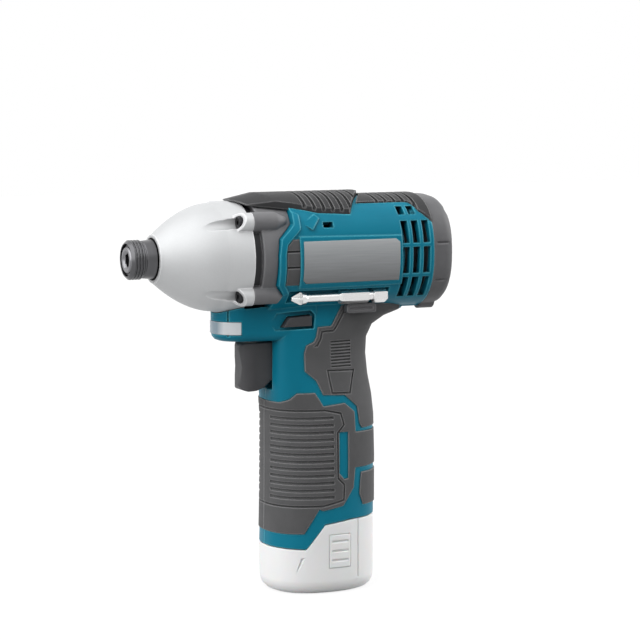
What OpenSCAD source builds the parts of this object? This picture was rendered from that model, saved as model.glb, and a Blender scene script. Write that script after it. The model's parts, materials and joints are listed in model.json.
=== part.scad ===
/* [Nose] */
// Length of the bit sleeve ahead of the hammer case
sleeve_len = 13; // [12.5:0.5:15]
// Radius of the bit sleeve
sleeve_r = 9.4; // [9.2:0.1:9.8]
// Length of the hammer case
case_len = 42; // [41.5:0.5:45]
// Step from the barrel in to the hammer case
case_set = 1; // [0.6:0.1:1.5]
// Radius of the hammer case at its front lip
lip_r = 11.8; // [11.5:0.1:12.5]
// Radius of the anvil shaft
anvil_r = 6.3; // [6.2:0.05:6.5]
// Width of the bit socket across its flats
socket_flats = 6.4; // [6.35:0.05:6.5]
// Depth of the bit socket
socket_depth = 27; // [25:0.5:28]
// Forward travel of the bit sleeve
sleeve_travel = 5; // [4:0.5:5.5]

/* [Collar and barrel] */
// Length of the dark collar behind the hammer case
collar_len = 11.5; // [11:0.5:14]
// Length of the clamshell along the barrel
shell_len = 82; // [81:0.5:88]
// Length of the rear cap
cap_len = 11.5; // [11:0.5:15]
// Half width of the barrel
barrel_w = 28; // [27.6:0.1:30]
// Half height of the barrel
barrel_h = 27.5; // [27:0.1:28.5]
// Squareness of the barrel section, 2 is an ellipse
barrel_square = 2.4; // [2.2:0.1:2.8]
// Least wall of the barrel round the gear case
barrel_wall = 2.5; // [2.3:0.1:2.7]
// Height of the tool axis above the foot
axis_z = 164; // [162:0.5:170]
// Height of the spine over the barrel
spine_rise = 2.7; // [2:0.1:3.2]
// Width of one vent slot
vent_w = 3.7; // [2.6:0.1:3.9]

/* [Grip] */
// Distance from the clamshell front edge to the grip axis
grip_set = 32; // [31:0.5:34]
// Half width of the grip at the palm
palm_w = 23; // [22.8:0.1:25]
// Half depth of the grip at the palm
palm_d = 27.7; // [27.4:0.1:29]
// Half width of the grip behind the trigger
waist_w = 17.9; // [17.6:0.1:19]
// Height of the front of the foot rim
foot_z = 22.6; // [21.5:0.1:24]
// Rise of the foot rim at the sides and rear
foot_step = 13.5; // [12:0.5:14.5]
// Thickness of the soft overmould set into the shell
soft_t = 1.3; // [1:0.1:1.4]
// Height of the soft overmould over the shell
soft_proud = 0.5; // [0.3:0.1:0.8]
// Half width of the chin
chin_w = 13; // [12.5:0.1:14]
// Reach of the chin ahead of the clamshell front edge
chin_reach = 22.7; // [21:0.1:23.5]

/* [Trigger] */
// Half width of the trigger
trigger_w = 7.4; // [7:0.1:7.6]
// Reach of the trigger ahead of the clamshell front edge
trigger_reach = 10.6; // [9:0.2:11]
// Travel of the trigger
trigger_travel = 6; // [4:0.5:6.5]
// Travel of the selector each way
selector_travel = 2.5; // [2:0.1:3]

/* [Drive] */
// Share of the gear case radius that one tooth of module takes
tooth_share = 0.028; // [0.0272:0.0002:0.0286]
// Face width of the gears
gear_face = 8; // [7:0.5:8.5]
// Backlash at the pitch circle
backlash = 0.14; // [0.12:0.01:0.18]
// Gap between the hammer and the hammer case
hammer_gap = 1.3; // [1.1:0.1:2]
// Backward travel of the hammer
hammer_travel = 8; // [6:0.5:8.5]
// Share of the barrel bore that the motor can takes
can_share = 0.728; // [0.71:0.002:0.736]
// Room between the motor and the rear cap
motor_room = 4.8; // [4:0.1:6]

/* [Battery] */
// Radius of one cell
cell_r = 9.1; // [9:0.05:9.15]
// Length of one cell
cell_len = 65; // [64:0.5:66]
// Thickness of the battery tower wall
tower_wall = 1.5; // [1.3:0.1:1.6]
// Inward travel of a release button
latch_travel = 2; // [1.5:0.1:2.1]

/* [Bit] */
// Length of the stored bit
bit_len = 50; // [48:0.5:52]
// Width of the bit across its flats
bit_flats = 6.35; // [6.3:0.05:6.4]

/* [Clearances] */
// Gap between a moving piece and its surroundings
play = 0.4; // [0.3:0.05:0.5]
// Gap between a fixed piece and its seat
seat = 0.15; // [0.1:0.05:0.2]
// Radial gap of a running fit
run = 0.05; // [0.03:0.01:0.08]
// Gap between the soft overmould and its bed
bond = 0.04; // [0.03:0.01:0.06]

/* [Hidden] */
$fn = 72;
wide = 60;
core_r = min(barrel_w, barrel_h) - barrel_wall;
case_r = min(barrel_w, barrel_h) - case_set;
case_wall = 4.9;
hammer_r = case_r - case_wall - hammer_gap;
gear_m = tooth_share * core_r;
can_r = can_share * core_r;
total_len = sleeve_len + case_len + collar_len + shell_len + cap_len;
nose_x = -total_len / 2;
case_x = nose_x + sleeve_len;
collar_x = case_x + case_len;
shell_x = collar_x + collar_len;
cap_x = shell_x + shell_len;
rear_x = cap_x + cap_len;
grip_x = shell_x + grip_set;
belly_z = axis_z - barrel_h;

// Gear train
sun_teeth = 12;
planet_teeth = 21;
ring_teeth = sun_teeth + 2 * planet_teeth;
planet_orbit = gear_m * (sun_teeth + planet_teeth) / 2;
planet_angles = [90, 210, 330];
press_angle = 20;
gear_add = 0.8 * gear_m;
gear_ded = 1.1 * gear_m;
ring_tip_r = gear_m * ring_teeth / 2 + gear_ded;
ring_r = ring_tip_r + 1.9;

// Stations of the drive along the tool axis, from the rear of the hammer case
hammer_x = collar_x - 14.5;
hammer_len = 19;
lug_len = 7;
wing_t = 5;
wing_x = hammer_x - lug_len;
disc_x = hammer_x + hammer_len + hammer_travel + 5.9;
disc_t = 3.1;
disc_r = gear_m * ring_teeth / 2 - 1.9;
post_r = 2.6;
gear_x = disc_x + disc_t + play;
disc2_x = gear_x + gear_face + play;
disc2_t = 2.6;
hub_len = 4.8;
hub_r = 8;
hub_bore = gear_m * sun_teeth / 2 + gear_add + play;
cover_x = disc2_x + disc2_t + 0.8;
cover_t = 4.4;
can_x = cover_x + cover_t + 0.6;
bell_len = 6;
bell_x = cap_x - motor_room - bell_len;
can_len = bell_x - can_x;
spindle_r = 0.37 * hammer_r;
pilot_r = 0.172 * hammer_r;
shaft_r = 1.585;
spring_r = 0.64 * hammer_r;
spring_wire = 0.074 * hammer_r;
ball_r = 0.118 * hammer_r;

// Sections of the grip: height, reach to the front, reach to the rear, half width, squareness of the front
flare = cap_x - grip_x - palm_d;
grip_rows = [
    [foot_z - 4, palm_d + 0.6, palm_d, palm_w + 0.6, 2.3],
    [foot_z + 17, palm_d + 0.1, palm_d + 0.1, palm_w + 0.4, 2.3],
    [belly_z - 71.5, palm_d - 0.1, palm_d + 0.2, palm_w, 2.3],
    [belly_z - 51.5, palm_d - 0.1, palm_d - 0.2, palm_w - 0.7, 2.3],
    [belly_z - 41.5, palm_d - 0.2, palm_d - 1.2, palm_w - 1.8, 2.8],
    [belly_z - 31.5, palm_d - 0.4, palm_d - 3, waist_w + 1.3, 4.4],
    [belly_z - 21.5, palm_d - 0.6, palm_d - 3.9, waist_w + 0.1, 5.4],
    [belly_z - 13.5, palm_d - 0.6, palm_d - 3.4, waist_w - 0.1, 5.4],
    [belly_z - 7.5, palm_d - 0.6, palm_d - 0.2, waist_w, 4.4],
    [belly_z - 3.5, palm_d - 0.2, palm_d + flare * 0.305, waist_w, 3.6],
    [belly_z - 0.5, palm_d + 0.8, palm_d + flare * 0.753, waist_w - 0.1, 3],
    [belly_z + 4.5, palm_d + 0.8, palm_d + flare * 0.888, waist_w - 0.4, 3]
];

// Battery
pack_x = grip_x - 0.4;
cell_ring = 2 * (cell_r + 0.1) / sqrt(3);
tower_r = cell_r + 0.15 + tower_wall;
cell_z = 8;
tower_z = cell_z - 1;
tower_top = cell_z + cell_len + 11;
well_top = tower_top + 4;
foot_line = [
    [-wide, foot_z + 0.6], [grip_x - 25, foot_z + 0.4], [grip_x - 15, foot_z],
    [grip_x - 6, foot_z + foot_step - 1.6], [grip_x + 8, foot_z + foot_step + 0.2],
    [grip_x + wide, foot_z + foot_step + 1]
];
foot_mark = [
    [grip_x - 17.2, foot_z - 4.6], [grip_x - 15.8, foot_z - 4.2], [grip_x - 19.2, foot_z - 11.6]
];
latch_x = grip_x - 3.7;
latch_l = 11;
latch_z = 13;
latch_h = 16;
latch_t = 1.5;
latch_gap = play / 2;
seam_x = grip_x + 11.5;

// Bit storage
bit_r = bit_flats / sqrt(3);
bit_y = -barrel_w + 5;
bit_z = belly_z + 8.1;
bit_x = shell_x + 8;
clip_x = bit_x + bit_len / 2 + 5;
clip_len = 15.5;
clip_h = 4.4;

// Screws
case_screw_y = 0.772 * case_r;
case_screw_z = 0.656 * case_r;
screw_r = 1.9;
head_r = 2.9;
screw_bite = 8;
boss_r = 4.6;
boss_len = 11;
boss_front = 7.2;
boss_slant = 35;
head_seat = 4.8;
band_len = 12.4;
band_rise = 0.6;
pillar_r = 3.3;
motor_screw_z = can_r + pillar_r + 0.3;
shell_screws_at = [
    [bell_x - 13, axis_z + motor_screw_z, 11.5], [bell_x - 13, axis_z - motor_screw_z, 11.5],
    [grip_x - 20.9, belly_z - 91.5, 9.4], [grip_x - 20.9, belly_z - 56.5, 9.4],
    [grip_x + 17.2, belly_z - 20, 7.4], [shell_x - 4.5, belly_z - 7, 9]
];
cap_screws_at = [[9, -barrel_h + 3.3], [0.68 * core_r, 0.72 * core_r]];

// Outline of a squared oval
function signed_pow(v, p) = sign(v) * pow(abs(v), p);
function oval(hx, hy, sq, from = 0, to = 355, step = 5) = [
    for (t = [from:step:to]) [hx * signed_pow(cos(t), 2 / sq), hy * signed_pow(sin(t), 2 / sq)]
];
function shifted(points, dx, dy) = [for (p = points) [p[0] + dx, p[1] + dy]];
function mirrored_x(points) = concat(points,
    [for (i = [len(points) - 1:-1:0]) [points[i][0], -points[i][1]]]);

// Involute gear outline, tooth on the first axis
function involute(a) = tan(a) * 180 / PI - a;
function half_tooth(teeth, r, slack) = let(
        pitch_r = gear_m * teeth / 2,
        base_r = pitch_r * cos(press_angle),
        a = r > base_r ? acos(base_r / r) : 0
    ) 90 / teeth - slack / (2 * pitch_r) * 180 / PI + involute(press_angle) - involute(a);
function gear_outline(teeth, add, ded, slack) = let(
        pitch_r = gear_m * teeth / 2,
        root_r = pitch_r - ded,
        flank_r = max(root_r, pitch_r * cos(press_angle)),
        tip_r = pitch_r + add,
        radii = concat(root_r < flank_r - 0.05 ? [root_r] : [],
            [for (i = [0:4]) flank_r + (tip_r - flank_r) * i / 4])
    ) [for (k = [0:teeth - 1]) each concat(
        [for (r = radii) let(a = 360 * k / teeth - half_tooth(teeth, r, slack)) r * [cos(a), sin(a)]],
        [for (i = [len(radii) - 1:-1:0]) let(r = radii[i],
            a = 360 * k / teeth + half_tooth(teeth, r, slack)) r * [cos(a), sin(a)]])];
function planet_turn(at) = at + 180 + at * sun_teeth / planet_teeth - 180 / planet_teeth;
ring_turn = planet_angles[0] - (planet_angles[0] - planet_turn(planet_angles[0])) * planet_teeth / ring_teeth;

// Solid through a stack of rings with equal point counts
module skin(rings) {
    n = len(rings[0]);
    last = (len(rings) - 1) * n;
    polyhedron([for (r = rings) each r], concat(
        [[for (i = [0:n - 1]) i]],
        [for (k = [0:len(rings) - 2], i = [0:n - 1]) each [
            [k * n + i, (k + 1) * n + i, (k + 1) * n + (i + 1) % n],
            [k * n + i, (k + 1) * n + (i + 1) % n, k * n + (i + 1) % n]]],
        [[for (i = [n - 1:-1:0]) last + i]]));
}

// Coil along x, drawn as one tube
module coil(x0, x1, mean_r, wire_r, turns, per_turn = 8) {
    translate([0, 0, axis_z])
        coil_tube(x0, x1, mean_r, wire_r, turns, per_turn);
}
module coil_tube(x0, x1, mean_r, wire_r, turns, per_turn) {
    steps = turns * per_turn;
    rise = x1 - x0 - 2 * wire_r;
    rotate([90, 0, 90])
        skin([for (k = [0:steps]) let(a = k * 360 / per_turn) [for (j = [0:5]) let(
            r = mean_r + wire_r * cos(j * 60))
            [r * cos(a), r * sin(a), x0 + wire_r + rise * k / steps - wire_r * sin(j * 60)]]]);
}

// Extrusion of a y-z outline along x, of an x-z outline toward the left side, of an x-y outline upward
module along_x(x0, x1) {
    translate([x0, 0, 0])
        rotate([90, 0, 90])
            linear_extrude(x1 - x0)
                children();
}
module along_y(y0, y1) {
    translate([0, -y0, 0])
        rotate([90, 0, 0])
            linear_extrude(y1 - y0)
                children();
}
module upward(z0, z1) {
    translate([0, 0, z0])
        linear_extrude(z1 - z0)
            children();
}
module on_axis() {
    translate([0, 0, axis_z])
        children();
}
module rod(r, x0, x1) {
    translate([x0, 0, axis_z])
        rotate([0, 90, 0])
            cylinder(r = r, h = x1 - x0);
}
module tube(r, bore, x0, x1) {
    difference() {
        rod(r, x0, x1);
        rod(bore, x0 - 1, x1 + 1);
    }
}
module turned(profile) {
    on_axis()
        rotate([0, 90, 0])
            rotate_extrude()
                polygon([for (p = profile) [p[1], p[0]]]);
}
module right_side() {
    translate([-wide * 2, 0, -wide])
        cube([wide * 5, wide, wide * 5]);
}

// Nose
module bit_sleeve() {
    bore_x = nose_x + sleeve_travel + 5;
    tail_x = case_x - play;
    groove_at = [2.3, 3.8, 5.3];
    waist_at = 6.3;
    color("dimgray")
        difference() {
            turned(concat(
                [[nose_x, anvil_r + 1.4], [nose_x, sleeve_r - 1.3], [nose_x + 1.3, sleeve_r]],
                [for (g = groove_at) each [[nose_x + g - 0.5, sleeve_r], [nose_x + g - 0.25, sleeve_r - 0.7],
                    [nose_x + g + 0.25, sleeve_r - 0.7], [nose_x + g + 0.5, sleeve_r]]],
                [[nose_x + waist_at, sleeve_r], [nose_x + waist_at + 0.6, sleeve_r - 1],
                [nose_x + waist_at + 1.1, sleeve_r - 1], [nose_x + waist_at + 1.5, sleeve_r - 0.5],
                [tail_x, sleeve_r],
                [tail_x, anvil_r + 0.08], [bore_x, anvil_r + 0.08], [bore_x, anvil_r + 1.4]]));
        }
}
module sleeve_spring() {
    color("silver")
        coil(nose_x + 2.4, nose_x + sleeve_travel + 4.8, anvil_r + 0.72, 0.45, 3, 16);
}
module retaining_ring() {
    color("gray")
        tube(anvil_r + 1.05, anvil_r - 0.7, nose_x + 1.2, nose_x + 2.2);
}
module anvil() {
    ball_x = nose_x + 11.2;
    color("silver")
        difference() {
            union() {
                turned([[nose_x, 0], [nose_x, anvil_r - 0.6], [nose_x + 0.6, anvil_r],
                    [nose_x + 1.15, anvil_r], [nose_x + 1.15, anvil_r - 0.7], [nose_x + 2.25, anvil_r - 0.7],
                    [nose_x + 2.25, anvil_r], [wing_x + 0.5, anvil_r], [wing_x + 0.5, anvil_r + 2],
                    [wing_x + wing_t, anvil_r + 2], [wing_x + wing_t, 0]]);
                intersection() {
                    rod(hammer_r - 3, wing_x, wing_x + wing_t);
                    on_axis()
                        translate([wing_x, -3.6, -wide])
                            cube([wing_t, 7.2, wide * 2]);
                }
            }
            translate([nose_x - 1, 0, axis_z])
                rotate([0, 90, 0])
                    cylinder(r = socket_flats / sqrt(3), h = socket_depth + 1, $fn = 6);
            turned([[nose_x - 0.1, 0], [nose_x - 0.1, socket_flats / sqrt(3) + 0.9],
                [nose_x + 0.9, socket_flats / sqrt(3) - 0.1], [nose_x + 0.9, 0]]);
            rod(pilot_r + run, wing_x - 2.5, wing_x + wing_t + 1);
            translate([ball_x, 0, axis_z])
                rotate([90, 0, 0])
                    cylinder(r = 1.65, h = wide, center = true);
        }
}
module detent_balls() {
    color("silver")
        for (s = [-1, 1])
            translate([nose_x + 11.2, s * (anvil_r - 1.6), axis_z])
                sphere(r = 1.55);
}
module anvil_bush() {
    color("peru")
        tube(anvil_r + 2, anvil_r + run, case_x + 3, wing_x - 1.5);
}
module front_washer() {
    color("black")
        tube(lip_r - 1.8, anvil_r + 0.3, case_x + 0.4, case_x + 2.8);
}
function case_radius(t) = lip_r + (case_r - band_rise - lip_r) * (1 - pow(1 - t, 1.8));
// Screw boss of the hammer case, its front cut aslant so that it faces outward
module case_boss() {
    difference() {
        translate([-boss_len, 0, 0])
            rotate([0, 90, 0])
                cylinder(r = boss_r, h = boss_len);
        translate([-boss_front, 0, 0])
            rotate([0, 0, -boss_slant])
                translate([-wide, -wide / 2, -wide / 2])
                    cube(wide);
    }
}
module hammer_case() {
    swell = case_len - band_len;
    path_len = 27;
    room_r = case_r - case_wall;
    color("lightgray")
        difference() {
            union() {
                turned(concat([[case_x, 0], [case_x, lip_r - 0.9], [case_x + 0.3, lip_r - 0.2]],
                    [for (i = [0:14]) let(t = i / 14) [case_x + 0.9 + (swell - 0.9) * t, case_radius(t)]],
                    [[collar_x - band_len + 1.5, case_r], [collar_x, case_r], [collar_x, 0]]));
                for (sy = [-1, 1], sz = [-1, 1])
                    translate([collar_x, sy * case_screw_y, axis_z + sz * case_screw_z])
                        rotate([atan2(sz * case_screw_z, sy * case_screw_y), 0, 0])
                            case_boss();
            }
            turned([[case_x - 1, 0], [case_x - 1, lip_r - 1.65], [case_x + 2.95, lip_r - 1.65],
                [case_x + 2.95, anvil_r + 2 + run], [wing_x - 2.5, anvil_r + 2 + run],
                [wing_x - 1.5, room_r - 4], [wing_x + 2.5, room_r], [collar_x + 1, room_r],
                [collar_x + 1, 0]]);
            for (sy = [-1, 1], sz = [-1, 1])
                translate([0, sy * case_screw_y, axis_z + sz * case_screw_z]) {
                    translate([collar_x - path_len, 0, 0])
                        rotate([0, 90, 0])
                            cylinder(r = head_r + 0.3, h = path_len - head_seat);
                    translate([collar_x - head_seat - 1, 0, 0])
                        rotate([0, 90, 0])
                            cylinder(r = screw_r + 0.15, h = head_seat + 2);
                }
        }
}
module screw_x(length) {
    difference() {
        union() {
            rotate([0, -90, 0])
                cylinder(r = head_r, h = 2);
            rotate([0, 90, 0])
                cylinder(r = screw_r, h = length);
        }
        translate([-2.5, 0, 0])
            rotate([0, 90, 0])
                cylinder(r = 1.3, h = 1.7, $fn = 6);
    }
}
module case_screws() {
    color("silver")
        for (sy = [-1, 1], sz = [-1, 1])
            translate([collar_x - head_seat, sy * case_screw_y, axis_z + sz * case_screw_z])
                screw_x(head_seat + 9.5);
}

// Front edge of the clamshell in side view, with a gap for the collar
function shell_front(gap) = [
    [-wide * 2, axis_z + wide], [shell_x + 9.3 - gap, axis_z + wide], [shell_x + 9.3 - gap, axis_z + 22],
    [shell_x + 8.4 - gap, axis_z + 16], [shell_x + 1.2 - gap, axis_z + 9.4], [shell_x - gap, axis_z + 1.8],
    [shell_x - gap, axis_z - 12.5], [shell_x + 3.7 - gap, axis_z - 17.7],
    [shell_x + 1.5 - gap, axis_z - 21.3], [-wide * 2, axis_z - 21.3]
];
module gear_case() {
    collar_r = min(barrel_w, barrel_h) - 0.3;
    groove_len = 4.2;
    room_r = case_r - 5.6;
    color("dimgray")
        difference() {
            union() {
                rod(core_r - seat, collar_x, cover_x);
                intersection() {
                    union() {
                        rod(collar_r, collar_x + groove_len, shell_x + 12);
                        for (sy = [-1, 1], sz = [-1, 1])
                            translate([collar_x, sy * case_screw_y, axis_z + sz * case_screw_z])
                                rotate([0, 90, 0]) {
                                    cylinder(r = boss_r + 0.2, h = 11.5);
                                    translate([0, 0, 11.5])
                                        cylinder(r1 = boss_r + 0.2, r2 = 2, h = 6);
                                }
                    }
                    along_y(-wide, wide)
                        polygon(shell_front(0.3));
                }
            }
            rod(room_r, collar_x - 1, disc_x - 1);
            rod(disc_r + 1, disc_x - 2, gear_x + 1);
            rod(ring_r + seat, gear_x - 0.2, cover_x + 1);
            for (sy = [-1, 1], sz = [-1, 1])
                translate([collar_x - 1, sy * case_screw_y, axis_z + sz * case_screw_z])
                    rotate([0, 90, 0])
                        cylinder(r = screw_r + 0.05, h = 12);
        }
}

// Impact mechanism
module hammer() {
    color("gray")
        difference() {
            union() {
                rod(hammer_r, hammer_x, hammer_x + hammer_len);
                intersection() {
                    tube(hammer_r - 1.5, anvil_r + 5, wing_x, hammer_x + 1);
                    on_axis()
                        translate([wing_x, -wide, -7])
                            cube([lug_len + 1, wide * 2, 14]);
                }
            }
            rod(spindle_r + 0.2, hammer_x - 1, hammer_x + hammer_len + 1);
            tube(spring_r + spring_wire * 2, spring_r - spring_wire * 2,
                hammer_x + 6.5, hammer_x + hammer_len + 1);
            for (s = [-1, 1])
                translate([hammer_x - 1, 0, axis_z + s * (spindle_r + 0.1)])
                    rotate([0, 90, 0])
                        cylinder(r = ball_r + 0.4, h = 9.8);
        }
}
module hammer_spring() {
    color("silver")
        coil(hammer_x + 6.8, disc_x - 0.2, spring_r, spring_wire, 4);
}
module cam_balls() {
    color("silver")
        for (s = [-1, 1])
            translate([hammer_x + 6, 0, axis_z + s * (spindle_r + 0.1)])
                sphere(r = ball_r);
}
module cam_spindle() {
    color("silver")
        difference() {
            union() {
                rod(pilot_r, wing_x - 2, wing_x + wing_t + 1);
                rod(spindle_r, wing_x + wing_t + 0.5, disc_x + 1);
                rod(disc_r, disc_x, disc_x + disc_t);
                rod(disc_r, disc2_x, disc2_x + disc2_t);
                rod(hub_r, disc2_x, disc2_x + disc2_t + hub_len);
                for (a = planet_angles)
                    on_axis()
                        rotate([a + 60, 0, 0])
                            translate([disc_x + 1, disc_r - post_r - 0.4, 0])
                                rotate([0, 90, 0])
                                    cylinder(r = post_r, h = disc2_x - disc_x);
            }
            rod(hub_bore, gear_x - play - 1, disc2_x + disc2_t + hub_len + 1);
            for (a = planet_angles)
                on_axis()
                    rotate([a, 0, 0])
                        translate([disc_x - 1, planet_orbit, 0])
                            rotate([0, 90, 0])
                                cylinder(r = 2, h = disc2_x + disc2_t - disc_x + 2);
            for (s = [-1, 1])
                translate([hammer_x + 6, 0, axis_z + s * (spindle_r + 0.1)])
                    sphere(r = ball_r + 0.05);
        }
}
module planet_pins() {
    color("silver")
        for (a = planet_angles)
            on_axis()
                rotate([a, 0, 0])
                    translate([disc_x + 0.3, planet_orbit, 0])
                        rotate([0, 90, 0])
                            cylinder(r = 1.98, h = disc2_x + disc2_t - disc_x - 0.6);
}
module planet_gear(i) {
    at = planet_angles[i];
    on_axis()
        translate([0, planet_orbit * cos(at), planet_orbit * sin(at)])
            along_x(gear_x, gear_x + gear_face)
                difference() {
                    rotate(planet_turn(at))
                        polygon(gear_outline(planet_teeth, gear_add, gear_ded, backlash));
                    circle(r = 1.98 + run);
                }
}
module planet_gear_1() {
    color("goldenrod")
        planet_gear(0);
}
module planet_gear_2() {
    color("goldenrod")
        planet_gear(1);
}
module planet_gear_3() {
    color("goldenrod")
        planet_gear(2);
}
module ring_gear() {
    color("gray")
        on_axis()
            along_x(gear_x, gear_x + gear_face)
                difference() {
                    circle(r = ring_r);
                    rotate(ring_turn)
                        polygon(gear_outline(ring_teeth, gear_ded, gear_add, -backlash));
                }
}
module gear_cover() {
    color("dimgray")
        difference() {
            union() {
                rod(core_r - seat, cover_x, cover_x + cover_t);
                rod(ring_r, disc2_x + 0.2, cover_x + 1);
            }
            rod(disc_r + 1, disc2_x - 1, cover_x - 0.2);
            rod(hub_r + 5 + run, cover_x - 1, cover_x + 3.6);
            rod(hub_r + 1.5, cover_x - 1, cover_x + cover_t + 1);
        }
}
module spindle_bearing() {
    color("silver")
        tube(hub_r + 5, hub_r + 0.02, cover_x - 0.2, cover_x + 3.6);
}

// Motor
module motor_can() {
    color("gray")
        difference() {
            rod(can_r, can_x, bell_x);
            rod(can_r - 1, can_x + 1.2, bell_x + 1);
            rod(shaft_r + 2.4, can_x - 1, can_x + 2);
            for (a = [0:60:300])
                on_axis()
                    rotate([a, 0, 0])
                        translate([can_x - 1, 10, 0])
                            rotate([0, 90, 0])
                                cylinder(r = 2.4, h = 3);
        }
}
module motor_magnets() {
    color("black")
        for (s = [-1, 1])
            intersection() {
                tube(can_r - 1 - seat, can_r - 4.1, can_x + 7, bell_x - 5);
                on_axis()
                    translate([can_x, s > 0 ? 4 : -wide, -wide])
                        cube([can_len, wide - 4, wide * 2]);
            }
}
brush_reach = can_r - 4.4;
module motor_end_bell() {
    color("ivory")
        difference() {
            union() {
                rod(can_r, bell_x, bell_x + bell_len);
                rod(can_r - 1 - seat, bell_x - 3, bell_x + 1);
            }
            rod(9, bell_x - 4, bell_x + bell_len - 2);
            rod(shaft_r + run, bell_x - 4, bell_x + bell_len + 1);
            on_axis()
                translate([bell_x - 3.5, -brush_reach - seat, -2.1])
                    cube([6.2, brush_reach * 2 + seat * 2, 4.2]);
        }
}
module brushes() {
    color("black")
        for (s = [-1, 1])
            on_axis()
                translate([bell_x - 3.2, s > 0 ? 5.4 : -brush_reach, -2])
                    cube([5.6, brush_reach - 5.4, 4]);
}
module motor_shaft() {
    color("silver")
        rod(shaft_r, gear_x - 0.2, bell_x + bell_len - 0.5);
}
module sun_pinion() {
    color("goldenrod")
        on_axis()
            along_x(gear_x, gear_x + gear_face + 1)
                difference() {
                    polygon(gear_outline(sun_teeth, gear_add, gear_ded, backlash));
                    circle(r = shaft_r + 0.01);
                }
}
module rotor_slots(r_in, r_out) {
    for (a = [0:72:288])
        rotate(a)
            polygon([[r_in, -1.2], [r_in + 1.5, -2.8], [r_out, -4.6], [r_out, 4.6],
                [r_in + 1.5, 2.8], [r_in, 1.2]]);
}
module rotor_core() {
    color("darkgray")
        on_axis()
            along_x(can_x + 9, bell_x - 7)
                difference() {
                    circle(r = can_r - 4.8);
                    circle(r = shaft_r + 0.01);
                    rotor_slots(4.6, can_r - 6.2);
                    for (a = [0:72:288])
                        rotate(a)
                            translate([can_r - 8, -1])
                                square([8, 2]);
                }
}
module rotor_windings() {
    color("chocolate")
        on_axis()
            along_x(can_x + 6, bell_x - 4.2)
                offset(delta = -0.2)
                    rotor_slots(4.6, can_r - 6.2);
}
module commutator() {
    color("peru")
        on_axis()
            along_x(bell_x - 4, bell_x + bell_len - 2.6)
                difference() {
                    circle(r = 5);
                    circle(r = shaft_r + 0.01);
                    for (a = [0:72:288])
                        rotate(a)
                            translate([4, -0.2])
                                square([2, 0.4]);
                }
}
module cooling_fan() {
    fan_x = can_x + 1.9;
    color("white")
        difference() {
            union() {
                rod(can_r - 5, fan_x, fan_x + 0.8);
                rod(3.2, fan_x, fan_x + 3.4);
                for (a = [0:45:315])
                    on_axis()
                        rotate([a, 0, 0])
                            translate([fan_x, 5.5, -0.4])
                                cube([3, can_r - 11, 0.8]);
            }
            rod(shaft_r + 0.01, fan_x - 1, fan_x + 5);
        }
}

// Trigger in side view
trigger_nose = shell_x - trigger_reach;
trigger_side = [
    [trigger_nose + 1.6, belly_z - 14.2], [trigger_nose + 0.2, belly_z - 16.6],
    [trigger_nose + 0.7, belly_z - 21], [trigger_nose + 1.3, belly_z - 26],
    [trigger_nose + 0.9, belly_z - 30.6], [trigger_nose, belly_z - 34.4],
    [trigger_nose + 1, belly_z - 36.8], [trigger_nose + 3.6, belly_z - 37.6],
    [trigger_nose + 8, belly_z - 37.2], [trigger_nose + 12, belly_z - 35.6],
    [trigger_nose + 15, belly_z - 32.6], [shell_x + 11.5, belly_z - 31.6], [shell_x + 11.5, belly_z - 14]
];

// Outer form of the barrel and of the grip
module barrel(grow_w, grow_h, x0, x1) {
    on_axis()
        along_x(x0, x1)
            polygon(oval(barrel_w + grow_w, barrel_h + grow_h, barrel_square));
}
module half_barrel(grow, x0, x1) {
    on_axis()
        along_x(x0, x1)
            polygon(oval(barrel_w + grow, barrel_h + grow, barrel_square, 90, 270));
}
function grip_ring(row, grow, from, to) = let(
        front = grip_x - row[1] - grow,
        back = grip_x + row[2] + grow
    ) [for (t = [from:7.5:to]) let(
            sq = cos(t) < 0 ? row[4] : 2.3,
            p = oval((back - front) / 2, row[3] + grow, sq, t, t)[0]
        ) [p[0] + (front + back) / 2, p[1], row[0]]];
module half_grip(grow) {
    skin([for (row = grip_rows) grip_ring(row, grow, 180, 360)]);
}
module whole_grip(grow) {
    skin([for (row = grip_rows) grip_ring(row, grow, 0, 352.5)]);
}
function chin_plan(grow) = let(arc_x = shell_x - chin_reach + chin_w) concat(
    [for (a = [180:10:270]) [arc_x + (chin_w + grow) * cos(a), (chin_w + grow) * sin(a)]],
    [[grip_x - 14, -waist_w + 0.6 - grow], [grip_x - 8, -waist_w + 0.6 - grow], [grip_x - 8, 0]]);
module half_chin() {
    rims = [[belly_z - 12.8, -3.4], [belly_z - 12.2, -1.7], [belly_z - 10.8, -0.5], [belly_z - 9, 0],
        [belly_z + 5.5, 0]];
    skin([for (r = rims) [for (p = chin_plan(r[1])) [p[0], p[1], r[0]]]]);
}
module battery_rings(grow, top) {
    rims = [[0, -5], [0.8, -3], [2.2, -1.5], [4.4, -0.4], [7, 0], [top, 0]];
    skin([for (r = rims) let(row = [r[0], palm_d + 0.5, palm_d, palm_w + 0.6, 2.3])
        grip_ring(row, r[1] + grow, 0, 352.5)]);
}
function tower_plan(r) = [for (k = [0:2], a = [-60:12:60]) let(at = k * 120)
    [pack_x + cell_ring * cos(at) + r * cos(at + a), cell_ring * sin(at) + r * sin(at + a)]];

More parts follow.
